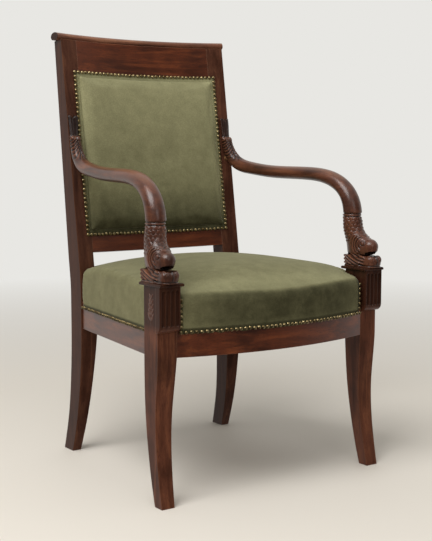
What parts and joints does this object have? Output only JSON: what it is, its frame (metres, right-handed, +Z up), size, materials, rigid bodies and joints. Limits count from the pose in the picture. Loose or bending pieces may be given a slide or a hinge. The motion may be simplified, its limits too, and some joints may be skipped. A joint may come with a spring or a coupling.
{
  "type": "fauteuil",
  "caption": "Mahogany open armchair with dolphin-carved scroll arms, sabre legs, a bowed front rail and close-nailed green velvet on the seat and back.",
  "frame": {"origin": "on the floor, under the middle of the chair's bounding box", "axes": "+Z up, +X to the right seen from the front, the front faces -Y"},
  "size_m": [0.555, 0.5732, 0.9249],
  "materials": {
    "mahogany": "satin",
    "beech": "matte",
    "velvet": "matte",
    "webbing": "matte",
    "hessian": "matte",
    "horsehair": "matte"
  },
  "bodies": {
    "root": {"arm_dowels": "beech", "back_cover": "velvet", "back_hessian": "hessian", "back_stuffing": "horsehair", "back_webbing": "webbing", "collar_dowels": "beech", "crest_rail": "mahogany", "crest_roll": "mahogany", "dolphin_dowels": "beech", "left_arm": "mahogany", "left_block_cap": "mahogany", "left_dolphin": "mahogany", "left_front_corner_brace": "beech", "left_front_leg": "mahogany", "left_rear_corner_brace": "beech", "left_rear_stile": "mahogany", "left_seat_side_rail": "mahogany", "lower_back_rail": "mahogany", "outer_back_cover": "velvet", "right_arm": "mahogany", "right_block_cap": "mahogany", "right_dolphin": "mahogany", "right_front_corner_brace": "beech", "right_front_leg": "mahogany", "right_rear_corner_brace": "beech", "right_rear_stile": "mahogany", "right_seat_side_rail": "mahogany", "seat_cover": "velvet", "seat_front_rail": "mahogany", "seat_hessian": "hessian", "seat_rear_rail": "mahogany", "seat_stuffing": "horsehair", "seat_webbing": "webbing"}
  },
  "joints": []
}
